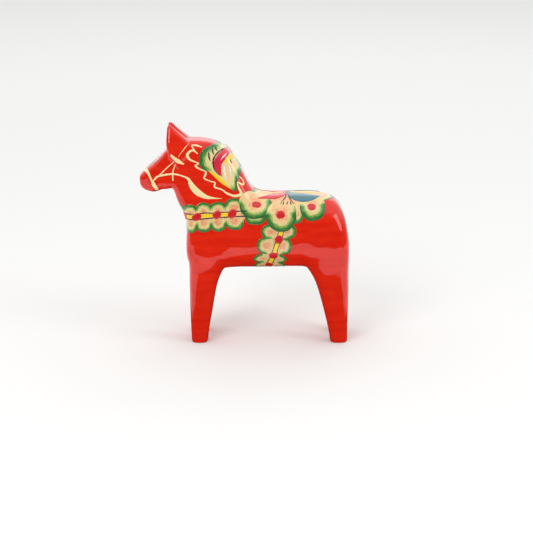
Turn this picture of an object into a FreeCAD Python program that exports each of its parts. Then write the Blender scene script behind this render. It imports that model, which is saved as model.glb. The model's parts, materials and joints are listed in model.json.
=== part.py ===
import FreeCAD, Part

import os

import Sketcher
from FreeCAD import Placement, Rotation, Vector

# A carved and painted wooden horse of the Dalarna kind, in millimetres.
#
# The horse stands on z = 0 and looks along -X, and its left and right sides mirror each other in y = 0.
# The wood is one block, sawn to its side view and whittled round. A thin red coat covers the wood
# everywhere but under the feet, and the decoration is brushed on top of the coat in films of thick
# paint. The first layer of films is the cream and green lobes, the bridle and the scrolls. The second
# layer lies on the first, or beside it, and holds the dots, the straps and the leaves.

doc = FreeCAD.newDocument("wooden_horse")
sheet = doc.addObject("Spreadsheet::Sheet", "Sheet")

# ---------------------------------------------------------------------------------------------
# Driving dimensions
# ---------------------------------------------------------------------------------------------

# The horse is drawn 165 mm tall. Every drawn size is multiplied by overall_height / drawn_height.
GENERAL = {
    "overall_height": 165,
    "drawn_height": 165,
    "coat_thickness": 0.3,
    "film_thickness": 0.25,
    "reach_of_a_stamp": 60,
}

# Sections through the trunk, neck and head, from the haunch round to the nose. Each is a plane across
# the horse that meets the outline at a top point and a low point. The columns are: top x, top z,
# low x, low z, half the width at the top and low roundings, and the radii of those roundings.
TRUNK = {
    "haunch": (78.1, 62, 50, 55.5, 22.4, 22.6, 7, 7),
    "buttock": (77.7, 80, 47.5, 57.6, 22.6, 22.9, 9, 8),
    "croup": (73.2, 99.5, 44.5, 59, 21.5, 23.3, 14, 9),
    "hip": (62.5, 110.1, 38, 58.9, 21, 23.4, 16.5, 10),
    "loin": (44, 112.2, 26, 58.6, 21.3, 23.5, 18, 11),
    "back": (25, 111.9, 8, 58.3, 21.3, 23.5, 18, 11),
    "seat": (12.5, 112.2, -8, 58.1, 20.4, 23.5, 16.5, 10),
    "withers": (4.6, 117.5, -26, 57, 18.4, 23.4, 14, 9),
    "shoulder": (0, 125.8, -40.6, 61.5, 16.6, 23.1, 11.5, 8),
    "breast": (-4.4, 134.4, -42.8, 88, 15.2, 20.6, 9, 7.5),
    "neck": (-11, 144, -47.6, 105, 14.2, 17.6, 8.5, 7),
    "gullet": (-22, 151, -52.2, 116.6, 13.6, 15.2, 8, 6),
    "poll": (-37, 153.4, -55.2, 118.1, 13, 13.8, 7, 5),
    "brow": (-52, 150.6, -59, 117.1, 12.4, 12.8, 6, 5),
    "face": (-61.2, 141.9, -63.8, 115.6, 11.2, 11.5, 5, 5),
    "bridge": (-68.4, 134.6, -68.8, 114.4, 9.9, 10, 4.5, 5),
    "nostril": (-74.2, 129.6, -73.8, 115.3, 8.6, 8.6, 4.5, 5),
    "lip": (-77.9, 126, -77.5, 119.2, 6.6, 6.6, 3, 3),
}

# Level sections through a limb, from the ground up. The columns are: height, front x, rear x,
# inner y, outer y and the radius of the four corners.
FRONT_LEG = {
    "foot": (0, -39.9, -28.4, 7.6, 20.0, 4.2),
    "coronet": (9, -40.1, -27.2, 7.4, 20.5, 4.7),
    "pastern": (20, -40.4, -25.5, 7.2, 21.1, 5.2),
    "shank": (35, -40.7, -22.8, 6.8, 22.0, 6),
    "knee": (48, -40.9, -19.8, 5.9, 22.8, 7),
    "elbow": (58, -41.0, -15.4, 3.6, 23.2, 7.6),
    "root": (70, -41.0, -10, 2, 23.1, 8),
}
HIND_LEG = {
    "foot": (0, 65.2, 77.1, 7.6, 20.0, 4.4),
    "coronet": (9, 63.9, 77.3, 7.4, 20.5, 4.9),
    "pastern": (20, 61.5, 77.6, 7.2, 21.1, 5.4),
    "shank": (35, 57.8, 77.8, 6.8, 21.9, 6),
    "hock": (48, 53.4, 78.0, 5.9, 22.5, 6.8),
    "stifle": (58, 47.5, 78.1, 3.6, 22.8, 7.3),
    "root": (70, 41, 77.9, 2, 22.8, 8),
}
EAR = {
    "point": (134, -50.6, -46.4, 6, 13.8, 1.8),
    "base": (141, -54.8, -42.4, 2, 13.7, 2.0),
    "brim": (149.5, -57.2, -39.2, 0.8, 12.9, 2.0),
    "middle": (155.5, -57.1, -44.2, 2.6, 11.3, 1.6),
    "upper": (160.5, -56.9, -50.1, 4.2, 9.7, 1.2),
    "tip": (164.7, -56.5, -54.6, 5.6, 8.0, 0.7),
}

# Brushed shapes, in side view. Both sides of the horse carry them. A dab is x, z and radius, and an
# outline is a run of x, z corners.
BREAST_BAND = {
    "collar": (-40, 105, 6.5),
    "bib": (-40, 93.5, 6.5),
    "second_top": (-29.5, 105.5, 6.6),
    "second_low": (-29.5, 93.5, 6.6),
    "third_top": (-18.5, 106, 6.6),
    "third_low": (-18.5, 93.8, 6.6),
    "fourth_top": (-7.5, 105.8, 6.4),
    "fourth_low": (-7.5, 94.2, 6.4),
}
BREAST_DOTS = {"first": (-35, 98.8, 3.2), "second": (-20.2, 100, 3.2), "third": (-8.8, 101.3, 3.2)}
SADDLE = {
    "front": (8.1, 107.5, 10),
    "front_small": (8.7, 96.6, 4.5),
    "middle": (28, 99.5, 11.5),
    "rear_small": (41, 101, 4.5),
    "rear": (51, 105.3, 9.5),
}
SADDLE_DOTS = {"front": (8.9, 108.5, 3.4), "middle": (26.8, 100.7, 3.6), "rear": (50.2, 106.5, 3.4)}
GIRTH = {
    "upper_front": (20.2, 84, 6.8),
    "upper_rear": (32, 81.8, 6.4),
    "lower_front": (15.2, 73.5, 6.6),
    "lower_rear": (28.5, 71.5, 6.6),
    "belly_front": (12.5, 62.8, 6.4),
    "belly_rear": (24.5, 61.6, 6.6),
}
GIRTH_DOTS = {"upper": (25.6, 81.1, 2.9), "lower": (21.6, 69.6, 2.9), "belly": (18, 60.5, 2.9)}
DABS = {
    "breast_band": BREAST_BAND,
    "breast_dots": BREAST_DOTS,
    "saddle": SADDLE,
    "saddle_dots": SADDLE_DOTS,
    "girth": GIRTH,
    "girth_dots": GIRTH_DOTS,
}
OUTLINES = {
    "breast_field": ((-47.5, 94), (-5, 95), (-5, 106), (-47.5, 105)),
    "saddle_field": ((0, 104), (17, 103), (28, 95), (40, 100), (51, 97), (66, 106), (66, 115), (2, 115)),
    "girth_field": ((33, 88), (22, 86), (13, 70), (9, 56), (27, 56), (30, 70)),
    "neck_flower": (
        (-18.4, 156), (-30, 151.4), (-33.6, 141.3), (-30.7, 133.6), (-21.4, 131), (-14, 122.5),
        (-6.8, 117), (-7.6, 127), (-2.4, 133), (-3, 142),
    ),
    "neck_heart": (
        (-21, 150.5), (-28.8, 146), (-29.3, 139), (-20, 134.6), (-11.4, 128.5), (-8.6, 136), (-12, 145),
    ),
    "red_leaf": ((11.5, 113.4), (17, 108.6), (24, 108), (31, 112.8), (29, 114.5), (13, 114.5)),
    "teal_leaf": ((34, 112.8), (38, 108.4), (47, 109.8), (57, 113.2), (57, 114.5), (34, 114.5)),
}

# Strokes of one width, along a run of x, z corners. The first figure is the stroke's width.
STROKES = {
    "breast_strap": (4.2, (-47.5, 98.6), (-30, 98.8), (-14, 99.8), (-5, 100.4)),
    "girth_strap": (4.0, (28.6, 87.2), (25, 79), (21, 68), (17.4, 57)),
    "mane_scroll": (
        1.7, (-33.6, 151.2), (-39.3, 150.6), (-42.4, 146.4), (-38.1, 140), (-35, 136.4), (-33.2, 130),
        (-27, 126), (-23.3, 122.6), (-21, 118), (-15.9, 115.6), (-8, 112.8),
    ),
    "noseband": (1.9, (-73, 133), (-69.4, 126.4), (-65.1, 117.5)),
    "cheek_strap": (1.6, (-67.4, 124.4), (-62, 129.5), (-56, 135.4), (-51.6, 139.2)),
    "brow_stroke": (2.2, (-53.4, 143.6), (-49, 141.2), (-45.4, 138.1)),
    "rein": (
        2.2, (-65.2, 128.8), (-58, 129.9), (-50, 129.6), (-43.2, 128), (-39, 121), (-34, 115.6),
        (-28.2, 112.6), (-18.4, 110.6),
    ),
}
SECTION_COLUMNS = ("top_x", "top_z", "low_x", "low_z", "top_half", "low_half", "top_radius", "low_radius")
LIMB_COLUMNS = ("height", "front", "rear", "inner", "outer", "corner")
DAB_COLUMNS = ("x", "z", "radius")
POINT_COLUMNS = ("x", "z")


def numbered(points):
    """Name a run of points p1, p2, p3 and so on."""
    return {f"p{number}": point for number, point in enumerate(points, 1)}


def fill_sheet(tables):
    """Write one named cell for each driving dimension, below the cells that are there."""
    row = len(sheet.getUsedCells()) // 2 + 1
    for prefix, columns, table in tables:
        for name, values in table.items():
            for column, value in zip(columns, values):
                alias = "_".join(part for part in (prefix, name, column) if part)
                sheet.set(f"A{row}", alias)
                sheet.set(f"B{row}", str(value))
                sheet.setAlias(f"B{row}", alias)
                row += 1


fill_sheet([
    ("", ("",), {name: (value,) for name, value in GENERAL.items()}),
    ("trunk", SECTION_COLUMNS, TRUNK),
    ("front_leg", LIMB_COLUMNS, FRONT_LEG),
    ("hind_leg", LIMB_COLUMNS, HIND_LEG),
    ("ear", LIMB_COLUMNS, EAR),
])
fill_sheet([(name, DAB_COLUMNS, table) for name, table in DABS.items()])
fill_sheet([(name, POINT_COLUMNS, numbered(points)) for name, points in OUTLINES.items()])
fill_sheet([(name, POINT_COLUMNS, numbered(stroke[1:])) for name, stroke in STROKES.items()])
fill_sheet([("", ("",), {f"{name}_width": (stroke[0],) for name, stroke in STROKES.items()})])
doc.recompute()
SCALE = "(Sheet.overall_height / Sheet.drawn_height)"


def value_of(expression):
    """Work out an expression on the sheet as a plain number."""
    found = sheet.evalExpression(expression)
    return float(getattr(found, "Value", found))


# ---------------------------------------------------------------------------------------------
# Rounded sections and lofts
# ---------------------------------------------------------------------------------------------


def origin_plane(body, role):
    return next(item for item in body.Origin.OriginFeatures if item.Role == role)


def rounded_section(body, name, plane, corners):
    """Sketch the outline round four circles, given as (x, y, radius) expressions, anticlockwise."""
    sketch = body.newObject("Sketcher::SketchObject", name)
    sketch.AttachmentSupport = [(origin_plane(body, plane), "")]
    sketch.MapMode = "FlatFace"
    centres = [Vector(value_of(x), value_of(y), 0) for x, y, _ in corners]
    radii = [value_of(r) for _, _, r in corners]
    sides = []
    for i in range(4):
        # The outer tangent from circle i to circle j leaves on the right-hand side.
        j = (i + 1) % 4
        along = centres[j] - centres[i]
        lean = (radii[i] - radii[j]) / along.Length
        ahead = along / along.Length
        right = Vector(ahead.y, -ahead.x, 0)
        normal = right * (1 - lean * lean) ** 0.5 + ahead * lean
        sides.append((centres[i] + normal * radii[i], centres[j] + normal * radii[j]))
    for start, end in sides:
        sketch.addGeometry(Part.LineSegment(start, end), False)
    for i in range(4):
        arrive, leave = sides[i - 1][1] - centres[i], sides[i][0] - centres[i]
        circle = Part.Circle(centres[i], Vector(0, 0, 1), radii[i])
        turn = [circle.parameter(centres[i] + arm) for arm in (arrive, leave)]
        sketch.addGeometry(Part.ArcOfCircle(circle, turn[0], turn[1]), False)
    rules = []
    for i in range(4):
        rules.append(Sketcher.Constraint("Tangent", (i + 3) % 4, 2, 4 + i, 1))
        rules.append(Sketcher.Constraint("Tangent", 4 + i, 2, i, 1))
    sketch.addConstraint(rules)
    for i, (x, y, radius) in enumerate(corners):
        for kind, expression in (("DistanceX", x), ("DistanceY", y)):
            size = value_of(expression)
            index = sketch.addConstraint(Sketcher.Constraint(kind, -1, 1, 4 + i, 3, size))
            sketch.renameConstraint(index, f"corner{i}_{kind}")
            sketch.setExpression(f"Constraints.corner{i}_{kind}", expression)
        index = sketch.addConstraint(Sketcher.Constraint("Radius", 4 + i, radii[i]))
        sketch.renameConstraint(index, f"corner{i}_radius")
        sketch.setExpression(f"Constraints.corner{i}_radius", radius)
    return sketch


def trunk_section(body, name, grow):
    """Stand a section across the horse, leaning so that it runs from its low point to its top point."""
    cell = {column: f"Sheet.trunk_{name}_{column}" for column in SECTION_COLUMNS}
    rise = f"({cell['top_z']} - {cell['low_z']})"
    reach = f"({cell['top_x']} - {cell['low_x']})"
    half_height = f"sqrt({rise}^2 + {reach}^2) / 2"
    low_y = f"(-{half_height} + {cell['low_radius']}) * {SCALE}"
    top_y = f"({half_height} - {cell['top_radius']}) * {SCALE}"
    low_x = f"({cell['low_half']} - {cell['low_radius']}) * {SCALE}"
    top_x = f"({cell['top_half']} - {cell['top_radius']}) * {SCALE}"
    low_r = f"{cell['low_radius']} * {SCALE} + {grow}"
    top_r = f"{cell['top_radius']} * {SCALE} + {grow}"
    corners = [
        (f"-{low_x}", low_y, low_r),
        (low_x, low_y, low_r),
        (top_x, top_y, top_r),
        (f"-{top_x}", top_y, top_r),
    ]
    sketch = rounded_section(body, name, "YZ_Plane", corners)
    lean = f"atan2({reach}; {rise})"
    middle_z = f"({cell['top_z']} + {cell['low_z']}) / 2 * {SCALE}"
    middle_x = f"({cell['top_x']} + {cell['low_x']}) / 2 * {SCALE}"
    # The two end sections are moved out by the growth, so that paint covers the ends as well.
    if name == "haunch":
        middle_z += f" - {grow}"
    if name == "lip":
        middle_x += f" - {grow}"
    sketch.AttachmentOffset = Placement(
        Vector(0, value_of(middle_z), value_of(middle_x)), Rotation(Vector(1, 0, 0), value_of(lean))
    )
    sketch.setExpression(".AttachmentOffset.Base.y", middle_z)
    sketch.setExpression(".AttachmentOffset.Base.z", middle_x)
    return sketch


def limb_section(body, limb, name, grow):
    """Lay a level section of a leg or ear at its height."""
    cell = {column: f"Sheet.{limb}_{name}_{column} * {SCALE}" for column in LIMB_COLUMNS}
    if name in ("foot", "tip"):
        # Paint stops just short of the ground, and goes over the tips of the ears.
        cell["height"] += f" + {grow}"
    front = f"{cell['front']} + {cell['corner']}"
    rear = f"{cell['rear']} - {cell['corner']}"
    inner = f"{cell['inner']} + {cell['corner']}"
    outer = f"{cell['outer']} - {cell['corner']}"
    radius = f"{cell['corner']} + {grow}"
    corners = [(front, inner, radius), (rear, inner, radius), (rear, outer, radius), (front, outer, radius)]
    sketch = rounded_section(body, f"{limb}_{name}", "XY_Plane", corners)
    sketch.AttachmentOffset = Placement(Vector(0, 0, value_of(cell["height"])), Rotation())
    sketch.setExpression(".AttachmentOffset.Base.z", cell["height"])
    return sketch


def loft(body, name, sections):
    feature = body.newObject("PartDesign::AdditiveLoft", name)
    feature.Profile = sections[0]
    feature.Sections = sections[1:]
    return feature


def mirror(body, name, originals):
    feature = body.newObject("PartDesign::Mirrored", name)
    feature.Originals = originals
    feature.MirrorPlane = (origin_plane(body, "XZ_Plane"), [""])
    body.Tip = feature
    return feature


def horse_form(label, grow):
    """Build the whole whittled shape, with every section grown outwards by an expression."""
    body = doc.addObject("PartDesign::Body", label)
    loft(body, "trunk", [trunk_section(body, name, grow) for name in TRUNK])
    limbs = [
        loft(body, limb, [limb_section(body, limb, name, grow) for name in table])
        for limb, table in (("front_leg", FRONT_LEG), ("hind_leg", HIND_LEG), ("ear", EAR))
    ]
    mirror(body, "other_side", limbs)
    return body


# ---------------------------------------------------------------------------------------------
# The wood, the red coat, and the two layers of decoration
# ---------------------------------------------------------------------------------------------


def difference(label, base, tool):
    feature = doc.addObject("Part::Cut", label)
    feature.Base = base
    feature.Tool = tool
    return feature


COAT = "Sheet.coat_thickness"
FILM = "Sheet.film_thickness"

pine = horse_form("pine_body", "0 * Sheet.coat_thickness")
coated = horse_form("coated_form", COAT)
painted = horse_form("painted_form", f"{COAT} + {FILM}")
touched_up = horse_form("touched_up_form", f"{COAT} + 2 * {FILM}")

red_coat = difference("red_coat", coated, pine)
first_layer = difference("first_layer", painted, coated)
second_layer = difference("second_layer", touched_up, painted)

# ---------------------------------------------------------------------------------------------
# Stamps: the brushed shapes, as solid bars across the horse
# ---------------------------------------------------------------------------------------------

ACROSS = Rotation(Vector(1, 0, 0), 90)


def dab_bar(table_name, name):
    """A round bar across the horse, as wide as one dab of the brush."""
    cell = {column: f"Sheet.{table_name}_{name}_{column} * {SCALE}" for column in DAB_COLUMNS}
    bar = doc.addObject("Part::Cylinder", f"{table_name}_{name}")
    bar.setExpression("Radius", cell["radius"])
    bar.setExpression("Height", f"Sheet.reach_of_a_stamp * {SCALE}")
    bar.Placement = Placement(Vector(), ACROSS)
    bar.setExpression(".Placement.Base.x", cell["x"])
    bar.setExpression(".Placement.Base.y", f"Sheet.reach_of_a_stamp / 2 * {SCALE}")
    bar.setExpression(".Placement.Base.z", cell["z"])
    return bar


def run_of_lines(name, count, closed):
    """Sketch straight lines through a run of points, in side view."""
    sketch = doc.addObject("Sketcher::SketchObject", f"{name}_lines")
    sketch.Placement = Placement(Vector(), ACROSS)
    cells = [
        [f"Sheet.{name}_p{number}_{column} * {SCALE}" for column in POINT_COLUMNS]
        for number in range(1, count + 1)
    ]
    points = [Vector(value_of(x), value_of(z), 0) for x, z in cells]
    ends = points[1:] + points[:1] if closed else points[1:]
    for start, end in zip(points, ends):
        sketch.addGeometry(Part.LineSegment(start, end), False)
    last = len(ends) - 1
    for i in range(last):
        sketch.addConstraint(Sketcher.Constraint("Coincident", i, 2, i + 1, 1))
    if closed:
        sketch.addConstraint(Sketcher.Constraint("Coincident", last, 2, 0, 1))
    for i, (x, z) in enumerate(cells):
        line, end = (i, 1) if i <= last else (last, 2)
        for kind, expression in (("DistanceX", x), ("DistanceY", z)):
            size = value_of(expression)
            index = sketch.addConstraint(Sketcher.Constraint(kind, -1, 1, line, end, size))
            sketch.renameConstraint(index, f"p{i + 1}_{kind}")
            sketch.setExpression(f"Constraints.p{i + 1}_{kind}", expression)
    return sketch


def bar_of(name, profile):
    bar = doc.addObject("Part::Extrusion", f"{name}_bar")
    bar.Base = profile
    bar.DirMode = "Normal"
    bar.Solid = True
    bar.Symmetric = True
    bar.setExpression("LengthFwd", f"Sheet.reach_of_a_stamp * {SCALE}")
    return bar


def outline_bar(name):
    return bar_of(name, run_of_lines(name, len(OUTLINES[name]), True))


def stroke_bar(name):
    """A bar with the outline of one brush stroke: the run of lines, made as wide as the brush."""
    ribbon = doc.addObject("Part::Offset2D", f"{name}_ribbon")
    ribbon.Source = run_of_lines(name, len(STROKES[name]) - 1, False)
    ribbon.setExpression("Value", f"Sheet.{name}_width / 2 * {SCALE}")
    ribbon.Mode = "Pipe"
    ribbon.Fill = True
    return bar_of(name, ribbon)


def one_bar(name, bars):
    """Fuse several bars into one."""
    if len(bars) == 1:
        return bars[0]
    stamp = doc.addObject("Part::MultiFuse", name)
    stamp.Shapes = bars
    return stamp


def film(label, layer, bars, spared=None):
    """Keep the part of a layer of paint that the bars cover, except where another bar spares it."""
    feature = doc.addObject("Part::MultiCommon", f"{label}_whole" if spared else label)
    feature.Shapes = [layer, one_bar(f"{label}_stamp", bars)]
    return difference(label, feature, spared) if spared else feature


def dabs(table_name):
    return [dab_bar(table_name, name) for name in DABS[table_name]]


bridle_strokes = [stroke_bar(name) for name in ("noseband", "cheek_strap", "brow_stroke")]
breast_dots = one_bar("breast_dots_stamp", dabs("breast_dots"))
girth_dots = one_bar("girth_dots_stamp", dabs("girth_dots"))

nodes = [
    pine,
    red_coat,
    film("breast_band", first_layer, dabs("breast_band") + [outline_bar("breast_field")]),
    film("saddle", first_layer, dabs("saddle") + [outline_bar("saddle_field")]),
    film("girth", first_layer, dabs("girth") + [outline_bar("girth_field")]),
    film("neck_flower", first_layer, [outline_bar("neck_flower")]),
    film("mane_scroll", first_layer, [stroke_bar("mane_scroll")]),
    film("bridle", first_layer, bridle_strokes),
    film("rein", first_layer, [stroke_bar("rein")]),
    film("breast_dots", second_layer, [breast_dots]),
    film("breast_strap", second_layer, [stroke_bar("breast_strap")], spared=breast_dots),
    film("saddle_dots", second_layer, dabs("saddle_dots")),
    film("red_leaf", second_layer, [outline_bar("red_leaf")]),
    film("teal_leaf", second_layer, [outline_bar("teal_leaf")]),
    film("girth_dots", second_layer, [girth_dots]),
    film("girth_strap", second_layer, [stroke_bar("girth_strap")], spared=girth_dots),
    film("neck_heart", second_layer, [outline_bar("neck_heart")]),
]
doc.recompute()

# ---------------------------------------------------------------------------------------------
# Checks, then one file for each node
# ---------------------------------------------------------------------------------------------

failed = [item.Label for item in doc.Objects if {"Invalid", "Error"} & set(item.State)]
if failed:
    raise RuntimeError(f"these objects did not compute: {failed}")
for node in nodes:
    if node.Shape.isNull() or not node.Shape.isValid():
        raise RuntimeError(f"{node.Label} has no valid shape")

os.makedirs("parts", exist_ok=True)
for node in nodes:
    node.Shape.exportStep(f"parts/{node.Label}.step")
    print(f"{node.Label}: {len(node.Shape.Solids)} solids, {node.Shape.Volume:.1f} cubic mm")
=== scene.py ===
# %% [markdown]
# # A carved, lacquered and painted wooden horse
# The real horse is one block of pine, sawn to its side view and whittled round with a knife. It is
# dipped or brushed with red paint, and a painter then lays the harness on it freehand, with two
# colours on one brush. A coat of clear lacquer goes over everything. This lesson goes the same way:
# first the wood, then the red coat, then each brush stroke as its own thin film of paint.

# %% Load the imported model
import json
import math
import random

import bpy
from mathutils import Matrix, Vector
from mathutils.bvhtree import BVHTree

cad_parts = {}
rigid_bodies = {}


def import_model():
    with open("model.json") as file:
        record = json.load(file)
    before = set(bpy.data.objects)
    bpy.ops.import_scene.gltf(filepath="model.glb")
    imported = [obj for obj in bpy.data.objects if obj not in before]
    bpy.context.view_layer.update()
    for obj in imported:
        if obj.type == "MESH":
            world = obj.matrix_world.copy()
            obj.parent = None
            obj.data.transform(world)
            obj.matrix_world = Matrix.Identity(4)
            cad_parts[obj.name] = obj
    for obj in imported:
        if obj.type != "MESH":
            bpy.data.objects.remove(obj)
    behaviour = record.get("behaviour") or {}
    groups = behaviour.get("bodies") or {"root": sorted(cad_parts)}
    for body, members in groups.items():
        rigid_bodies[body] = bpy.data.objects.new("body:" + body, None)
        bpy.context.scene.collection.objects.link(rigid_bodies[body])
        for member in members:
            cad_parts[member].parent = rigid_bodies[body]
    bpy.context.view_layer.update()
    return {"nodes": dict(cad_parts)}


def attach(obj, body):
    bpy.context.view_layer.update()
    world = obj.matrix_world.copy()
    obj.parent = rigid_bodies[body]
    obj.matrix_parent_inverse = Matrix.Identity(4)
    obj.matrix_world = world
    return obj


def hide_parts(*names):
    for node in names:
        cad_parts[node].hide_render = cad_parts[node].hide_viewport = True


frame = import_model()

MM = 0.001


# %% [markdown]
# Operators act on whatever is selected, and loading the model leaves its parts selected. So each
# step first selects one piece and nothing else. Modifiers are applied as soon as they are set.

# %% Helpers for selecting, for modifiers and for limits
def select_none():
    if bpy.context.object and bpy.context.object.mode != "OBJECT":
        bpy.ops.object.mode_set(mode="OBJECT")
    bpy.ops.object.select_all(action="DESELECT")


def select_only(piece):
    select_none()
    piece.select_set(True)
    bpy.context.view_layer.objects.active = piece


def apply_modifier(piece, kind, **settings):
    select_only(piece)
    modifier = piece.modifiers.new(kind.lower(), kind)
    for name, value in settings.items():
        setattr(modifier, name, value)
    bpy.ops.object.modifier_apply(modifier=modifier.name)


def join_doubles(piece, distance):
    select_only(piece)
    bpy.ops.object.mode_set(mode="EDIT")
    bpy.ops.mesh.select_all(action="SELECT")
    bpy.ops.mesh.remove_doubles(threshold=distance)
    bpy.ops.object.mode_set(mode="OBJECT")


def clamp(value, low=0, high=1):
    return min(max(value, low), high)


# %% [markdown]
# ## The whittled body
# The CAD wood has the right shape, but its surfaces are too perfect, and its small triangles spoil the
# reflections of a glossy paint. A copy of it is remeshed into even little squares, which a smoothing
# softens, as sandpaper does.

# %% Copy the wood and sand it
WELD = 0.005 * MM
VOXEL = 0.85 * MM
SANDING = 0.5
SANDING_PASSES = 9

body_mesh = frame["nodes"]["pine_body"].data.copy()
horse = bpy.data.objects.new("horse_lacquer", body_mesh)
bpy.context.scene.collection.objects.link(horse)
horse.data.materials.clear()
join_doubles(horse, WELD)
apply_modifier(horse, "REMESH", mode="VOXEL", voxel_size=VOXEL)
apply_modifier(horse, "SMOOTH", factor=SANDING, iterations=SANDING_PASSES)
print("body triangles:", 2 * len(horse.data.polygons))

# %% [markdown]
# The roots of the legs get many more passes, so that the legs grow out of the chest and the haunch with
# no ledge. A vertex group says how much of it each point gets: all of it in a belt round the roots,
# none along the belly between them, and a fade from one to the other.

# %% Blend the leg roots into the trunk
ROOT_LEVEL = 61 * MM
ROOT_HALF = 7 * MM
ROOT_FADE = 9 * MM
ROOT_MIDDLE = 17 * MM
ROOT_CLEAR = 32 * MM
ROOT_PASSES = 70

leg_roots = horse.vertex_groups.new(name="leg_roots")
for vertex in horse.data.vertices:
    level = 1 - max(abs(vertex.co.z - ROOT_LEVEL) - ROOT_HALF, 0) / ROOT_FADE
    along = (abs(vertex.co.x - ROOT_MIDDLE) - ROOT_CLEAR) / ROOT_FADE
    weight = clamp(level) * clamp(along)
    if weight > 0:
        leg_roots.add([vertex.index], weight, "REPLACE")
apply_modifier(horse, "SMOOTH", factor=SANDING, iterations=ROOT_PASSES, vertex_group="leg_roots")
print("vertex groups on the body:", [group.name for group in horse.vertex_groups])

# %% [markdown]
# Two weak displacements bring back the slow waves that a knife leaves. The copy is then pushed out by
# the thickness of the paint, because it stands for the painted surface. Last, the flank is turned under
# a little towards the belly, as the knife does there. Each point moves inward by as much as an arc of
# FLANK_RADIUS would take it, and by FLANK_MOST at the most.

# %% Whittle and paint the surface
KNIFE_WAVES = ((26 * MM, 0.7 * MM), (9 * MM, 0.18 * MM))
PAINT = 0.35 * MM
FLANK_TURN = 82 * MM
FLANK_RADIUS = 95 * MM
FLANK_MOST = 1.6 * MM
FLANK_MIDDLE = 16 * MM
FLANK_HALF = 26 * MM
FLANK_FADE = 24 * MM
FLANK_START = 8 * MM

for size, height in KNIFE_WAVES:
    waves = bpy.data.textures.new("knife_waves", "CLOUDS")
    waves.noise_scale = size
    waves.noise_depth = 0
    apply_modifier(horse, "DISPLACE", texture=waves, texture_coords="OBJECT", strength=height)
apply_modifier(horse, "DISPLACE", strength=PAINT, mid_level=0)
for vertex in horse.data.vertices:
    below = max(FLANK_TURN - vertex.co.z, 0)
    beyond = max(abs(vertex.co.x - FLANK_MIDDLE) - FLANK_HALF, 0)
    share = max(1 - beyond / FLANK_FADE, 0) ** 2
    inward = min(below * below / (2 * FLANK_RADIUS), FLANK_MOST) * share
    vertex.co.y -= inward * clamp(vertex.co.y / FLANK_START, -1)
    vertex.co.z = max(vertex.co.z, 0)
horse.data.update()
select_only(horse)
bpy.ops.object.shade_smooth()
heights = [vertex.co.z / MM for vertex in horse.data.vertices]
print("body from", round(min(heights), 1), "to", round(max(heights), 1), "mm high")

# %% [markdown]
# The feet stand bare: a painter holds or sets down the horse by them, and end grain shows there. The
# faces that lie flat on the ground are selected and separated into a piece of their own.

# %% Separate the bare soles
FACES_DOWN = -0.9
SOLE_HEIGHT = 0.3 * MM
for polygon in horse.data.polygons:
    polygon.select = polygon.normal.z < FACES_DOWN and polygon.center.z < SOLE_HEIGHT
select_only(horse)
bpy.ops.object.mode_set(mode="EDIT")
bpy.ops.mesh.select_mode(type="FACE")
bpy.ops.mesh.separate(type="SELECTED")
bpy.ops.object.mode_set(mode="OBJECT")
soles = next(piece for piece in bpy.context.selected_objects if piece != horse)
soles.name = "bare_soles"
print("sole faces:", len(soles.data.polygons))

# %% [markdown]
# ## Wrapping a flat drawing round the body
# A painter thinks in the side view and simply follows the wood round where it curves away. A chart does
# the same. It has an axis inside the body, and it measures the skin round that axis with a tape, so a
# drawing keeps its size when it runs over the back, round the chest or under the belly. A point of
# the drawing is (x, z) in mm as seen from the side. Past the flank, the tape goes on counting. It
# stops at the centre line of the horse, so a shape that is drawn too far meets its twin there.

# %% Charts of the skin
SIDES = {"left": -1, "right": 1}
QUARTER_TURN = math.pi / 2
REACH = 90 * MM
TAPE_STEP = 3  # mm from one row of the tape to the next, and degrees from one reading to the next
GAP_LENGTH = 0.3  # mm counted where a ray misses the skin
skin = BVHTree.FromObject(horse, bpy.context.evaluated_depsgraph_get())


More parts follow.
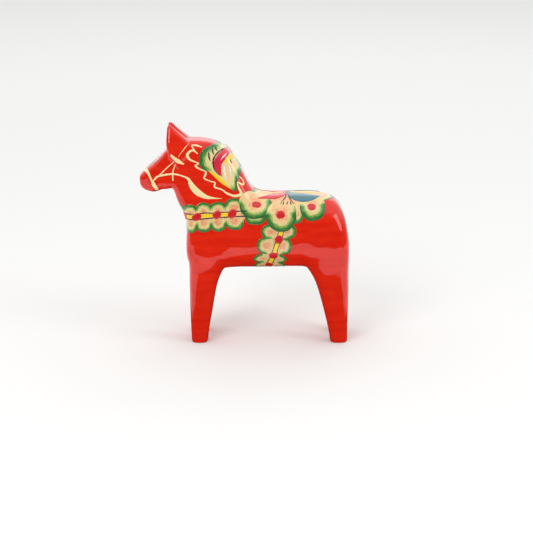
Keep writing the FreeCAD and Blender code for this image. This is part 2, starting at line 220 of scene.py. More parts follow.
class Chart:
    """An unrolled side view round an axis from `centre` (x, z) at `turn` degrees from level."""

    def __init__(self, centre, turn, low_u, high_u, low_angle, high_angle):
        self.centre = Vector((centre[0], 0, centre[1])) * MM
        lean = math.radians(turn)
        self.along = Vector((math.cos(lean), 0, math.sin(lean)))
        self.up = Vector((-math.sin(lean), 0, math.cos(lean)))
        self.low_u = low_u
        self.angles = [math.radians(a) for a in range(low_angle, high_angle + 1, TAPE_STEP)]
        self.rows = [self.tape(u) for u in range(low_u, high_u + 1, TAPE_STEP)]

    def hit(self, u, angle, side):
        out = Vector((0, math.cos(angle) * side, 0)) + self.up * math.sin(angle)
        start = self.centre + self.along * (u * MM) + out * REACH
        place, normal, _, _ = skin.ray_cast(start, -out, REACH)
        return place, normal

    def tape(self, u):
        """Lengths in mm along the skin at each angle, zero at the flank."""
        places = [self.hit(u, angle, -1)[0] for angle in self.angles]
        lengths = [0.0]
        for a, b in zip(places, places[1:]):
            lengths.append(lengths[-1] + ((b - a).length / MM if a and b else GAP_LENGTH))
        flank = self.angles.index(min(self.angles, key=abs))
        return [length - lengths[flank] for length in lengths]

    def angle_in_row(self, row, v):
        row = self.rows[clamp(row, 0, len(self.rows) - 1)]
        i = next((k for k in range(1, len(row)) if row[k] >= v), len(row) - 1)
        share = (v - row[i - 1]) / max(row[i] - row[i - 1], 1e-6)
        return self.angles[i - 1] + (self.angles[i] - self.angles[i - 1]) * share

    def on_skin(self, x, z, side):
        """The place and normal on the skin for a point of the drawing."""
        arm = Vector((x * MM, 0, z * MM)) - self.centre
        u, v = arm.dot(self.along) / MM, arm.dot(self.up) / MM
        spot = (u - self.low_u) / TAPE_STEP
        row = math.floor(spot)
        share = spot - row
        angle = self.angle_in_row(row, v) * (1 - share) + self.angle_in_row(row + 1, v) * share
        angle = clamp(angle, -QUARTER_TURN, QUARTER_TURN)
        place, normal = self.hit(u, angle, side)
        if place is None:
            place, normal, _, _ = skin.find_nearest(self.centre + self.along * (u * MM))
        return place, normal


TORSO = Chart((0, 85), 0, -30, 75, -120, 180)
CHEST = Chart((-20, 98), 90, -20, 22, -60, 120)
NECK = Chart((-20, 132), 120, -24, 26, -120, 60)
HEAD = Chart((-60, 130), 31, -20, 24, -90, 120)


def centre_line(chart, u, angle):
    """Length of the tape at `u` from the flank to the centre line, in mm: up at 90 degrees, down at -90."""
    row = chart.rows[round((u - chart.low_u) / TAPE_STEP)]
    return row[chart.angles.index(math.radians(angle))]


BACK_TOP = TORSO.centre.z / MM + centre_line(TORSO, 30, 90)
BELLY_LOW = TORSO.centre.z / MM + centre_line(TORSO, 18, -90)
CHEST_FRONT = CHEST.centre.x / MM - centre_line(CHEST, 0, 90)
for place, level in (("back", BACK_TOP), ("belly", BELLY_LOW), ("chest", CHEST_FRONT)):
    print("centre line of the", place, "in mm:", round(level, 1))

# %% [markdown]
# ## One brush stroke as a film of paint
# A stroke is a thin film that follows the wood, thick along its middle and thin at its rim. Each one
# starts as a flat grid primitive. The grid's points are then laid on the skin, either as a fan inside
# a closed outline (a lobe) or as a ribbon along a line (a stroke). Two things are stored on it for
# the finish: a UV map in mm that runs with the hairs of the brush, and `shade`, which says how far a
# point is from the green rim of a lobe.

# %% Curves through a few points
def smooth_run(points, count, closed):
    """Points along a Catmull-Rom curve. Each point is a list of numbers of any length."""
    last = len(points)
    spans = last if closed else last - 1
    run = []
    for k in range(count + (0 if closed else 1)):
        t = k * spans / count
        i = min(int(t), spans - 1)
        f = t - i
        corner = [
            points[(i + d) % last] if closed else points[clamp(i + d, 0, last - 1)]
            for d in (-1, 0, 1, 2)
        ]
        run.append([
            0.5 * (2 * b + (c - a) * f + (2 * a - 5 * b + 4 * c - d) * f * f
                   + (3 * b - a - 3 * c + d) * f**3)
            for a, b, c, d in zip(*corner)
        ])
    return run


def grid_piece(name, columns, rows, places, uvs, shades):
    """A grid primitive with its points moved to `places`, row after row."""
    select_none()
    bpy.ops.mesh.primitive_grid_add(x_subdivisions=columns, y_subdivisions=rows, size=MM)
    piece = bpy.context.object
    piece.name = name
    mesh = piece.data
    mesh.vertices.foreach_set("co", [c for place in places for c in place])
    layer = mesh.uv_layers.active.data
    for loop in mesh.loops:
        layer[loop.index].uv = uvs[loop.vertex_index]
    shade = mesh.attributes.new("shade", "FLOAT", "POINT")
    shade.data.foreach_set("value", shades)
    mesh.update()
    return piece


def above(place, normal, lift):
    return place + normal * (lift * MM)


def rim_rise(share):
    """Height share of a film from its rim (0) to its body (1)."""
    return math.sin(min(share, 1) * math.pi / 2)


# %% A lobe: the film inside a closed outline
RIM_DEPTH = 0.08  # mm that a film's rim sinks into what is below it
LOBE_SHAKE = 0.2  # mm that the hand wavers
LOBE_RIM = 0.7  # mm from the rim of a lobe to its full thickness
CROWDING = 1.4  # above 1, the rings crowd towards the rim
ROOT_SHADE = 0.72  # shade where a lobe has no green rim
ROOT_GROWTH = 0.05  # and its growth for each mm inward
LOBE_APART = 7.3  # mm between the hairs of one lobe and the next
SEAM = 0.002 * MM


def lobe(chart, side, outline, centre, lift, thick=0.1, rings=11, around=72, green_reach=3.4, seed=0):
    """`outline` holds x, z and the strength of the green rim at each point."""
    chance = random.Random(f"{seed}{side}")
    shaken = [
        (x + chance.uniform(-LOBE_SHAKE, LOBE_SHAKE), z + chance.uniform(-LOBE_SHAKE, LOBE_SHAKE), green)
        for x, z, green in outline
    ]
    edge = smooth_run(shaken, around, True)
    places, uvs, shades = [], [], []
    along = [0.0]
    for a, b in zip(edge, edge[1:] + edge[:1]):
        along.append(along[-1] + math.dist(a[:2], b[:2]))
    for row in range(rings + 1):
        share = (row / rings) ** CROWDING
        for k in range(around + 1):
            x, z, green = edge[k % around]
            radius = math.dist((x, z), centre)
            here = [x + (centre[0] - x) * share, z + (centre[1] - z) * share]
            place, normal = chart.on_skin(*here, SIDES[side])
            depth = share * radius
            height = lift - RIM_DEPTH + (thick + RIM_DEPTH) * rim_rise(depth / LOBE_RIM)
            places.append(above(place, normal, height))
            uvs.append((along[k] + LOBE_APART * seed, depth))
            green = clamp(green)
            shades.append((depth / green_reach) * green + (ROOT_SHADE + ROOT_GROWTH * depth) * (1 - green))
    piece = grid_piece("lobe", around, rings, places, uvs, shades)
    join_doubles(piece, SEAM)
    return piece


GREEN_FADE = 0.4
ROUND = 2.0  # the bluntness of an ellipse


def round_outline(centre, half_width, half_height, turn=0, blunt=2.3, green_from=-0.45, points=16):
    """A rounded lobe whose tip points down at turn 0, and whose green rim fades towards its root."""
    outline = []
    for k in range(points):
        t = 2 * math.pi * k / points
        down, across = math.cos(t), math.sin(t)
        radius = ((abs(down) / half_height) ** blunt + (abs(across) / half_width) ** blunt) ** (-1 / blunt)
        x, z = across * radius, -down * radius
        lean = math.radians(turn)
        x, z = x * math.cos(lean) - z * math.sin(lean), x * math.sin(lean) + z * math.cos(lean)
        green = clamp((down - green_from) / GREEN_FADE)
        outline.append((centre[0] + x, centre[1] + z, green))
    return outline


def red_dots(chart, side, spots, lift, thick, seed=0, turn_step=0):
    """Round blobs at each (x, z, half width, half height), each turned further than the last."""
    dots = []
    for i, (x, z, half, high) in enumerate(spots):
        outline = round_outline((x, z), half, high, turn_step * i, ROUND)
        dots.append(lobe(chart, side, outline, (x, z), lift, thick, rings=6, around=30, seed=seed + i))
    return dots


# %% A stroke: the film along a line
STROKE_APART = 5.1  # mm between the hairs of one stroke and the next
THINNEST = 0.08
FEWEST_STEPS = 8
QUICK_WAVER = (0.05, 1.9)  # mm that the rim wavers, and radians for each step
SLOW_WAVER = (0.04, 0.83)


def stroke(side, line, lift, thick=0.1, step=0.45, across=8, seed=0, shake=0.12):
    """`line` holds a chart, x, z and the width in mm at each point."""
    chance = random.Random(f"{seed}{side}")
    controls = []
    for chart, x, z, width in line:
        x, z = x + chance.uniform(-shake, shake), z + chance.uniform(-shake, shake)
        place, _ = chart.on_skin(x, z, SIDES[side])
        controls.append([*place, width])
    length = sum(math.dist(a[:3], b[:3]) for a, b in zip(controls, controls[1:])) / MM
    count = max(int(length / step), FEWEST_STEPS)
    run = smooth_run(controls, count, False)
    middle = []
    for x, y, z, width in run:
        place, normal, _, _ = skin.find_nearest(Vector((x, y, z)))
        middle.append((place, normal, max(width, THINNEST)))
    places, uvs = [], []
    for row in range(count + 1):
        place, normal, width = middle[row]
        ahead = middle[min(row + 1, count)][0] - middle[max(row - 1, 0)][0]
        beside = ahead.cross(normal).normalized()
        hairs = QUICK_WAVER[0] * math.sin(row * QUICK_WAVER[1] + seed)
        hairs += SLOW_WAVER[0] * math.sin(row * SLOW_WAVER[1] + 2 * seed)
        for k in range(across + 1):
            share = 2 * k / across - 1
            out = share * (width / 2 + hairs * min(width, 1)) * MM
            spot, spot_normal, _, _ = skin.find_nearest(place + beside * out)
            height = lift - RIM_DEPTH + (thick + RIM_DEPTH) * rim_rise((1 - abs(share)) * width)
            places.append(above(spot, spot_normal, height))
            uvs.append((row * step + STROKE_APART * seed, share * width / 2))
    return grid_piece("stroke", across, count, places, uvs, [1.0] * len(places))


def strokes(chart, side, lines, lift, **settings):
    """A stroke for each line of (x, z, width) points on one chart."""
    return [stroke(side, [(chart, *point) for point in line], lift, **settings) for line in lines]


# %% Gather strokes into one piece
FILM_DEPTH = 0.06


def gather(name, films, finish, node=None, depth=FILM_DEPTH):
    """Join films into one piece, `depth` mm deep. It rides with the wood, and may stand for a CAD node."""
    select_none()
    for film in films:
        film.select_set(True)
    bpy.context.view_layer.objects.active = films[0]
    bpy.ops.object.join()
    piece = bpy.context.object
    piece.name = name
    apply_modifier(piece, "SOLIDIFY", thickness=depth * MM, offset=-1)
    select_only(piece)
    bpy.ops.object.mode_set(mode="EDIT")
    bpy.ops.mesh.select_all(action="SELECT")
    bpy.ops.mesh.normals_make_consistent(inside=False)
    bpy.ops.object.mode_set(mode="OBJECT")
    bpy.ops.object.shade_smooth()
    piece.data.materials.clear()
    piece.data.materials.append(finish)
    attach(piece, "root")
    if node:
        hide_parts(node)
    print(name, "from", len(films), "films, with", len(piece.data.polygons), "faces")


# %% [markdown]
# ## Finishes
# Everything but the bare soles is under one clear lacquer, so every finish but the end grain has a full
# coat.
# What differs is the paint below it. Two effects are shared. `brush hairs` gives the fine lines that
# bristles leave along a stroke. `hand gloss` makes the roughness and the bump of the lacquer uneven, because
# it was brushed.

# %% Shared effects
def srgb(red, green, blue):
    """A colour as a colour picker shows it, made linear."""
    parts = [c / 255 for c in (red, green, blue)]
    return [c / 12.92 if c <= 0.04045 else ((c + 0.055) / 1.055) ** 2.4 for c in parts] + [1]


def new_group(name, inputs, outputs):
    group = bpy.data.node_groups.new(name, "ShaderNodeTree")
    for label, value in inputs.items():
        kind = "NodeSocketFloat" if isinstance(value, (int, float)) else "NodeSocketColor"
        socket = group.interface.new_socket(label, in_out="INPUT", socket_type=kind)
        socket.default_value = value
    for label, kind in outputs.items():
        group.interface.new_socket(label, in_out="OUTPUT", socket_type=kind)
    return group, group.nodes.new("NodeGroupInput"), group.nodes.new("NodeGroupOutput")


def add_node(tree, kind, inputs=(), **settings):
    node = tree.nodes.new(kind)
    for name, value in settings.items():
        setattr(node, name, value)
    for name, value in dict(inputs).items():
        if hasattr(value, "node"):
            tree.links.new(value, node.inputs[name])
        else:
            node.inputs[name].default_value = value
    return node


def math_node(tree, operation, first, second=0.5, clamp=False):
    return add_node(
        tree, "ShaderNodeMath", {0: first, 1: second}, operation=operation, use_clamp=clamp
    ).outputs[0]


def mix_colour(tree, share, first, second):
    node = add_node(tree, "ShaderNodeMix", data_type="RGBA")
    for label, value in (("Factor_Float", share), ("A_Color", first), ("B_Color", second)):
        socket = next(s for s in node.inputs if s.identifier == label)
        if hasattr(value, "node"):
            tree.links.new(value, socket)
        else:
            socket.default_value = value
    return next(s for s in node.outputs if s.identifier == "Result_Color")


def brush_hairs_group():
    group, given, result = new_group(
        "brush hairs", {"Along": 0.12, "Across": 3.2, "Contrast": 1.0}, {"Hairs": "NodeSocketFloat"}
    )
    uv = add_node(group, "ShaderNodeUVMap", uv_map="UVMap")
    parts = add_node(group, "ShaderNodeSeparateXYZ", {0: uv.outputs["UV"]})
    along = math_node(group, "MULTIPLY", parts.outputs["X"], given.outputs["Along"])
    across = math_node(group, "MULTIPLY", parts.outputs["Y"], given.outputs["Across"])
    where = add_node(group, "ShaderNodeCombineXYZ", {"X": along, "Y": across})
    noise = add_node(
        group, "ShaderNodeTexNoise",
        {"Vector": where.outputs[0], "Scale": 1.0, "Detail": 3.0, "Roughness": 0.6},
    )
    centred = math_node(group, "SUBTRACT", noise.outputs["Fac"], 0.5)
    spread = math_node(group, "MULTIPLY", centred, given.outputs["Contrast"])
    group.links.new(math_node(group, "ADD", spread, 0.5, True), result.inputs["Hairs"])
    return group


def hand_gloss_group():
    group, given, result = new_group(
        "hand gloss",
        {"Smooth": 0.22, "Dull": 0.4, "Wave Size": 90.0},
        {"Roughness": "NodeSocketFloat", "Height": "NodeSocketFloat"},
    )
    place = add_node(group, "ShaderNodeTexCoord").outputs["Object"]
    patches = add_node(
        group, "ShaderNodeTexNoise", {"Vector": place, "Scale": given.outputs["Wave Size"], "Detail": 4.0}
    )
    span = math_node(group, "SUBTRACT", given.outputs["Dull"], given.outputs["Smooth"])
    rough = math_node(group, "MULTIPLY_ADD", patches.outputs["Fac"], span)
    group.links.new(given.outputs["Smooth"], rough.node.inputs[2])
    group.links.new(rough, result.inputs["Roughness"])
    fine = add_node(group, "ShaderNodeTexNoise", {"Vector": place, "Scale": 700.0, "Detail": 2.0})
    slow = math_node(group, "MULTIPLY", patches.outputs["Fac"], 1.6)
    height = math_node(group, "ADD", slow, math_node(group, "MULTIPLY", fine.outputs["Fac"], 0.25))
    group.links.new(height, result.inputs["Height"])
    return group


BRUSH_HAIRS = brush_hairs_group()
HAND_GLOSS = hand_gloss_group()
print("shared effects:", [group.name for group in bpy.data.node_groups])


# %% [markdown]
# The lacquer is set on the shader's own sockets, because it is the same all over. A builder function
# starts each finish with it, and each finish then adds its own colour.

# %% Lacquered paint
COAT_ROUGHNESS = 0.045
COAT_IOR = 1.5
PAINT_SHINE = 0.35  # how much the paint shines below the lacquer
RED_SHINE = 0.03
BUMP_DEPTH = 0.2 * MM


def lacquered(name, bump=0.12, smooth=0.24, dull=0.42):
    finish = bpy.data.materials.new(name)
    finish.use_nodes = True
    tree = finish.node_tree
    shader = tree.nodes["Principled BSDF"]
    shader.inputs["Coat Weight"].default_value = 1.0
    shader.inputs["Coat Roughness"].default_value = COAT_ROUGHNESS
    shader.inputs["Coat IOR"].default_value = COAT_IOR
    shader.inputs["Specular IOR Level"].default_value = PAINT_SHINE
    gloss = add_node(tree, "ShaderNodeGroup", node_tree=HAND_GLOSS)
    gloss.inputs["Smooth"].default_value = smooth
    gloss.inputs["Dull"].default_value = dull
    tree.links.new(gloss.outputs["Roughness"], shader.inputs["Roughness"])
    relief = add_node(tree, "ShaderNodeBump", {"Height": gloss.outputs["Height"], "Strength": bump})
    relief.inputs["Distance"].default_value = BUMP_DEPTH
    tree.links.new(relief.outputs["Normal"], shader.inputs["Normal"])
    return finish, tree, shader


def hairs_in(tree, along, across, contrast):
    node = add_node(tree, "ShaderNodeGroup", node_tree=BRUSH_HAIRS)
    node.inputs["Along"].default_value = along
    node.inputs["Across"].default_value = across
    node.inputs["Contrast"].default_value = contrast
    return node.outputs["Hairs"]


def ramp(tree, share, stops):
    node = add_node(tree, "ShaderNodeValToRGB", {"Fac": share})
    elements = node.color_ramp.elements
    while len(elements) < len(stops):
        elements.new(0.5)
    for element, (spot, colour) in zip(elements, stops):
        element.position = spot
        element.color = colour
    return node.outputs["Color"]


# %% The builder of each finish
def red_lacquer():
    finish, tree, shader = lacquered("red_lacquer", bump=0.10, smooth=0.2, dull=0.34)
    shader.inputs["Specular IOR Level"].default_value = RED_SHINE
    place = add_node(tree, "ShaderNodeTexCoord").outputs["Object"]
    stretch = add_node(tree, "ShaderNodeMapping", {"Vector": place, "Scale": (60, 60, 260)})
    brushed = add_node(
        tree, "ShaderNodeTexNoise", {"Vector": stretch.outputs[0], "Scale": 1.0, "Detail": 5.0}
    )
    colour = ramp(tree, brushed.outputs["Fac"], [
        (0.3, srgb(212, 28, 8)), (0.5, srgb(218, 34, 10)), (0.72, srgb(225, 41, 13)),
    ])
    tree.links.new(colour, shader.inputs["Base Color"])
    return finish


CREAM_FROM = 0.62  # the shade at which a lobe's green has run out into cream
RIM_WANDER = 0.6
DAB_CONTRAST = 11.0
THIN_CONTRAST = 3.2


def lobe_paint(name, cream, inner, blush, blush_amount):
    """Two colours on one brush: the rim is green, and it runs into cream and a warm middle."""
    dark, green, light = GREENS
    finish, tree, shader = lacquered(name)
    shade = add_node(tree, "ShaderNodeAttribute", attribute_name="shade").outputs["Fac"]
    hairs = hairs_in(tree, 0.2, 2.4, 1.7)
    wander = math_node(tree, "MULTIPLY", math_node(tree, "SUBTRACT", hairs, 0.5), RIM_WANDER)
    spot = math_node(tree, "ADD", shade, wander, True)
    colour = ramp(tree, spot, [
        (0.0, dark), (0.16, dark), (0.32, green), (0.47, light),
        (CREAM_FROM, cream), (0.8, cream), (1.0, inner),
    ])
    place = add_node(tree, "ShaderNodeTexCoord").outputs["Object"]
    dabs = add_node(
        tree, "ShaderNodeTexNoise",
        {"Vector": place, "Scale": 420.0, "Detail": 6.0, "Roughness": 0.7, "Distortion": 1.6},
    )
    deep = math_node(tree, "MULTIPLY", math_node(tree, "SUBTRACT", spot, CREAM_FROM, True), 3.0, True)
    above_middle = math_node(tree, "SUBTRACT", dabs.outputs["Fac"], 0.5, True)
    patch = math_node(tree, "MULTIPLY", above_middle, DAB_CONTRAST, True)
    mask = math_node(tree, "MULTIPLY", math_node(tree, "MULTIPLY", patch, deep), blush_amount)
    tree.links.new(mix_colour(tree, mask, colour, blush), shader.inputs["Base Color"])
    return finish


def stroke_paint(name, colour, thin, along=0.1, across=3.0, cover=0.52):
    """One colour on the brush. Where the hairs leave little of it, what is below shows through."""
    finish, tree, shader = lacquered(name, bump=0.2)
    hairs = hairs_in(tree, along, across, 1.5)
    share = math_node(tree, "MULTIPLY", math_node(tree, "SUBTRACT", hairs, cover, True), THIN_CONTRAST, True)
    tree.links.new(mix_colour(tree, share, colour, thin), shader.inputs["Base Color"])
    return finish


def end_grain():
    finish = bpy.data.materials.new("pine_end_grain")
    finish.use_nodes = True
    tree = finish.node_tree
    shader = tree.nodes["Principled BSDF"]
    shader.inputs["Roughness"].default_value = 0.75
    place = add_node(tree, "ShaderNodeTexCoord").outputs["Object"]
    rings = add_node(
        tree, "ShaderNodeTexWave", {"Vector": place, "Scale": 120.0, "Distortion": 2.5, "Detail": 2.0}
    )
    colour = ramp(tree, rings.outputs["Fac"], [(0.2, srgb(214, 178, 128)), (0.8, srgb(178, 132, 84))])
    tree.links.new(colour, shader.inputs["Base Color"])
    return finish


# %% The finishes
GREENS = (srgb(38, 104, 42), srgb(62, 132, 52), srgb(138, 178, 84))
BLUSH = srgb(222, 92, 60)

RED_LACQUER = red_lacquer()
BAND_PAINT = lobe_paint("band_paint", srgb(230, 206, 142), srgb(228, 172, 122), BLUSH, 0.7)
SADDLE_PAINT = lobe_paint("saddle_paint", srgb(230, 208, 144), srgb(238, 186, 136), BLUSH, 0.7)
GIRTH_PAINT = lobe_paint("girth_paint", srgb(224, 200, 140), srgb(226, 166, 122), srgb(216, 96, 72), 0.6)
FLOWER_PAINT = lobe_paint("flower_paint", srgb(226, 214, 150), srgb(238, 208, 150), srgb(236, 170, 110), 0.4)
CREAM_LINE = stroke_paint("cream_line", srgb(240, 224, 164), srgb(228, 168, 104), across=4.0, cover=0.56)
YELLOW_PAINT = stroke_paint("strap_yellow", srgb(248, 206, 36), srgb(238, 170, 60))
BLACK_LINE = stroke_paint("black_line", srgb(34, 32, 44), srgb(58, 54, 70), cover=0.6)
DOT_RED = stroke_paint("dot_red", srgb(206, 18, 26), srgb(170, 10, 22), along=0.4, across=1.6)
LEAF_RED = stroke_paint("leaf_red", srgb(212, 24, 36), srgb(172, 12, 26))
LEAF_TEAL = stroke_paint("leaf_teal", srgb(52, 118, 130), srgb(34, 76, 92))
CRIMSON = stroke_paint("heart_crimson", srgb(212, 28, 58), srgb(240, 150, 160), cover=0.6)
WHITE_TOUCH = stroke_paint("white_touch", srgb(240, 236, 226), srgb(214, 214, 220))
END_GRAIN = end_grain()
print("finishes:", len(bpy.data.materials))

# %% Finish and place the body
for piece, finish, slot, node in (
    (horse, RED_LACQUER, "red_enamel", "red_coat"),
    (soles, END_GRAIN, "bare_pine", "pine_body"),
):
    piece.data.materials.clear()
    piece.data.materials.append(finish)
    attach(piece, "root")
    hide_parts(node)
    print(piece.name, "stands for", node)

# %% [markdown]
# ## The breast band
# Pairs of round lobes stand above and below a yellow strap line, all round the chest. Neighbours lie
# one above the other by turns, so that their films don't meet at one height, and a plain strip of the
# same paint fills the gap between them.

# %% Where the breast band runs
NEIGHBOUR_LIFTS = (0.02, 0.04)
BAND_START = -63
STRAP_LEVEL = 98.0
STRAP_BEND = -45
STRAP_RISE = 0.062
BAND_LOBES = (
    # middle x, half width, top z, low z
    (CHEST_FRONT, 5.8, 106.5, 87.5),
    (-51.4, 6.0, 106.5, 87.2),
    (-40.4, 6.1, 106.6, 86.9),
    (-30.0, 6.1, 108.2, 87.4),
    (-19.3, 6.4, 108.6, 88.0),
    (-7.3, 7.0, 111.0, 89.2),
)
BAND_DOTS = (
    # x, z, half width, half height
    (-57.0, 98.0, 3.2, 2.9),
    (-46.5, 98.0, 3.2, 2.9),
    (-35.3, 98.4, 3.7, 2.9),
    (-20.4, 99.6, 3.5, 2.9),
    (-8.9, 100.6, 3.9, 2.9),
)


def strap_height(x):
    return STRAP_LEVEL + STRAP_RISE * max(x - STRAP_BEND, 0)


def band_run(stop, step, width, offset=0):
    return [(CHEST, x, strap_height(x) + offset, width) for x in range(BAND_START, stop, step)]


print("strap line from", strap_height(BAND_START), "to", strap_height(0), "mm high")

# %% Paint the lobes of the band
BAND_OVERLAP = 0.9
band = []
for side in SIDES:
    for i, (x, half, top, low) in enumerate(BAND_LOBES):
        middle = strap_height(x)
        for tip, turn in ((top, 180), (low, 0)):
            reach = abs(tip - middle) / 2 + BAND_OVERLAP
            outline = round_outline((x, (middle + tip) / 2), half, reach, turn, green_from=-0.2)
            focus = (x, middle + (tip - middle) * 0.25)
            lift = NEIGHBOUR_LIFTS[i % 2]
            band.append(lobe(CHEST, side, outline, focus, lift, green_reach=5.2, seed=i + turn))
    band.append(stroke(side, band_run(4, 6, 9.0), 0.0, across=12, seed=2))
gather("breast_band_lobes", band, BAND_PAINT, "breast_band")

# %% Paint the strap line and the dots of the band
STRAP_EDGE = 1.9
DOT_LIFT = 0.26
DOT_THICK = 0.25
yellow, lines, dots = [], [], []
for side in SIDES:
    yellow.append(stroke(side, band_run(-8, 6, 3.5), 0.14, seed=3))
    for offset in (-STRAP_EDGE, STRAP_EDGE):
        lines.append(stroke(side, band_run(3, 5, 1.0, offset), 0.2, seed=offset, across=4, shake=0.3))
    dots += red_dots(CHEST, side, BAND_DOTS, DOT_LIFT, DOT_THICK, turn_step=10)
gather("breast_strap_line", yellow, YELLOW_PAINT, "breast_strap")
gather("breast_edge_lines", lines, BLACK_LINE)
gather("breast_red_dots", dots, DOT_RED, "breast_dots")

# %% [markdown]
# ## The saddle
# A cream field lies over the back. Three big lobes with a red dot hang from it on each side, with two
# small green ones tucked between them, and a red and a blue-green leaf lie on it. What lies on the
# field is lifted clear of it and made deeper, so that two films never share one surface.

# %% Paint the saddle's field and its small lobes
SMALL_LOBES = (
    # centre, half width, half height, turn, focus, green reach, seed
    ((8.2, 98.5), 8.2, 6.0, 0, (8.4, 99), 7.5, 31),
    ((40.2, 102.2), 4.8, 8.8, -12, (40.4, 102), 6.0, 32),
)
FIELD = (
    # x, z, green
    (3, 112, 0.9), (5, 120, 1), (7.5, 126, 0.8), (10, BACK_TOP + 5, 0.3), (30, BACK_TOP + 6, 0),
    (52, BACK_TOP + 6, 0), (63, BACK_TOP + 4, 0.4), (67, 124, 1), (66, 118, 1), (61, 113, 0.7),
    (52, 108, 0), (38, 107, 0), (27, 105, 0), (16, 107, 0),
)
FIELD_THICK = 0.05
small, field = [], []
for side in SIDES:
    for centre, half, high, turn, focus, reach, seed in SMALL_LOBES:
        outline = round_outline(centre, half, high, turn, green_from=-0.9)
        small.append(lobe(TORSO, side, outline, focus, 0.02, green_reach=reach, seed=seed))
    field.append(lobe(TORSO, side, FIELD, (32, 118), 0.0, FIELD_THICK, 18, 110, green_reach=5, seed=33))
gather("saddle_small_lobes", small, SADDLE_PAINT)
gather("saddle_field", field, SADDLE_PAINT, "saddle")

# %% Paint the saddle's big lobes and their dots
ON_TOP = 0.4
FOCUS_RISE = 2.5
BIG_LOBES = (
    # centre, half width, half height, turn, lift
    ((8.4, 108.0), 12.4, 11.4, 10, 0.14),
    ((50.6, 106.0), 9.8, 10.6, 6, 0.14),
    ((27.4, 99.4), 11.2, 12.2, 4, 0.28),
)
SADDLE_DOTS = ((9.0, 107.9, 3.5, 2.6), (26.9, 100.3, 3.5, 3.1), (49.9, 106.3, 3.2, 2.6))
lobes, dots = [], []
for side in SIDES:
    for i, (centre, half, high, turn, lift) in enumerate(BIG_LOBES):
        outline = round_outline(centre, half, high, turn, blunt=2.05, green_from=-0.5)
        focus = (centre[0], centre[1] + FOCUS_RISE)
        lobes.append(lobe(TORSO, side, outline, focus, lift, FIELD_THICK, 14, 90, green_reach=8.6, seed=i))
    dots += red_dots(TORSO, side, SADDLE_DOTS, 0.36, 0.2, seed=5)
gather("saddle_big_lobes", lobes, SADDLE_PAINT, depth=ON_TOP)
gather("saddle_red_dots", dots, DOT_RED, "saddle_dots", depth=ON_TOP)

# %% Paint the saddle's leaves
RED_LEAF = (
    # x, z, width
    (9.6, 113.4, 0.3), (16, 115.6, 4.6), (22.0, 118.0, 9.0), (27, 121.4, 9.0), (30.6, 126.8, 1.2),
)
TEAL_LEAF = (
    (33.0, 127.0, 0.8), (36.6, 120.0, 9.5), (42.5, 116.4, 12.5), (49.5, 116.2, 9.0), (56.5, 118.4, 0.4),
)
red, teal = [], []
for side in SIDES:
    red += strokes(TORSO, side, [RED_LEAF], 0.28, thick=0.08, across=14, seed=1)
    teal += strokes(TORSO, side, [TEAL_LEAF], 0.28, thick=0.08, across=14, seed=2)
gather("saddle_red_leaves", red, LEAF_RED, "red_leaf", depth=ON_TOP)
gather("saddle_teal_leaves", teal, LEAF_TEAL, "teal_leaf", depth=ON_TOP)

# %% Paint the saddle's stems and its yellow top line
STEMS = (
    ((31.2, 127.4, 0.9), (31.1, 121, 1.0), (30.4, 115, 0.9), (26.6, 108.4, 0.4)),
    ((32.4, 127.4, 0.9), (32.6, 121, 1.0), (33.6, 114.6, 0.9), (37.0, 108.4, 0.4)),
    ((29.4, 111, 0.3), (29.0, 109.2, 1.0), (28.8, 107.8, 0.3)),
    ((31.8, 111, 0.3), (31.8, 109.2, 1.0), (31.6, 107.8, 0.3)),
    ((34.0, 111, 0.3), (34.4, 109.2, 1.0), (34.6, 107.8, 0.3)),
)
TOP_LINE_DROP = 0.9  # mm below the centre line of the back
TOP_LINE = [
    (x, BACK_TOP - TOP_LINE_DROP, width)
    for x, width in ((12, 0.4), (20, 2.0), (34, 2.2), (50, 2.0), (60, 0.5))
]
stems, topline = [], []
for side in SIDES:
    stems += strokes(TORSO, side, STEMS, 0.42, across=4, seed=4)
    topline += strokes(TORSO, side, [TOP_LINE], 0.2, across=8, seed=6)
gather("saddle_black_stems", stems, BLACK_LINE, depth=ON_TOP)
gather("saddle_yellow_line", topline, YELLOW_PAINT, depth=ON_TOP)

# %% [markdown]
# ## The girth
# The girth hangs from the middle lobe of the saddle and goes right round the belly.

# %% Paint the lobes of the girth
GIRTH_LOBES = (
    # centre x, z, half width, half height, turn, bluntness
    ((13.6, 42.5), 4.6, 5.0, -90, 2.2), ((23.6, 42.3), 4.6, 5.0, 90, 2.2),
    ((12.9, 50.4), 5.0, 5.4, -90, 2.1), ((24.4, 50.0), 5.0, 5.4, 90, 2.1),
    ((12.5, 58.5), 5.4, 5.6, -84, 2.0), ((25.5, 57.8), 5.4, 5.6, 84, 2.0),
    ((13.4, 66.8), 4.4, 7.1, -84, 1.6), ((25.8, 66.2), 4.4, 6.1, 84, 1.6),
    ((16.0, 76.9), 6.6, 6.9, -88, 2.3), ((28.6, 76.7), 6.6, 7.0, 86, 2.3),
    ((19.2, 87.4), 5.6, 6.8, -86, 2.3), ((32.2, 87.8), 5.8, 6.4, 84, 2.3),
)
STRAP_LINE = (
    # x, z
    (28.0, 90), (25.9, 81.8), (23.6, 75.5), (21.6, 69.2), (18.9, 61), (18.6, 52), (18.6, 45),
    (18.6, BELLY_LOW),
)
FOCUS_SHIFT = 2.2


def girth_run(width, offset=0):
    return [(TORSO, x + offset, z, width) for x, z in STRAP_LINE]


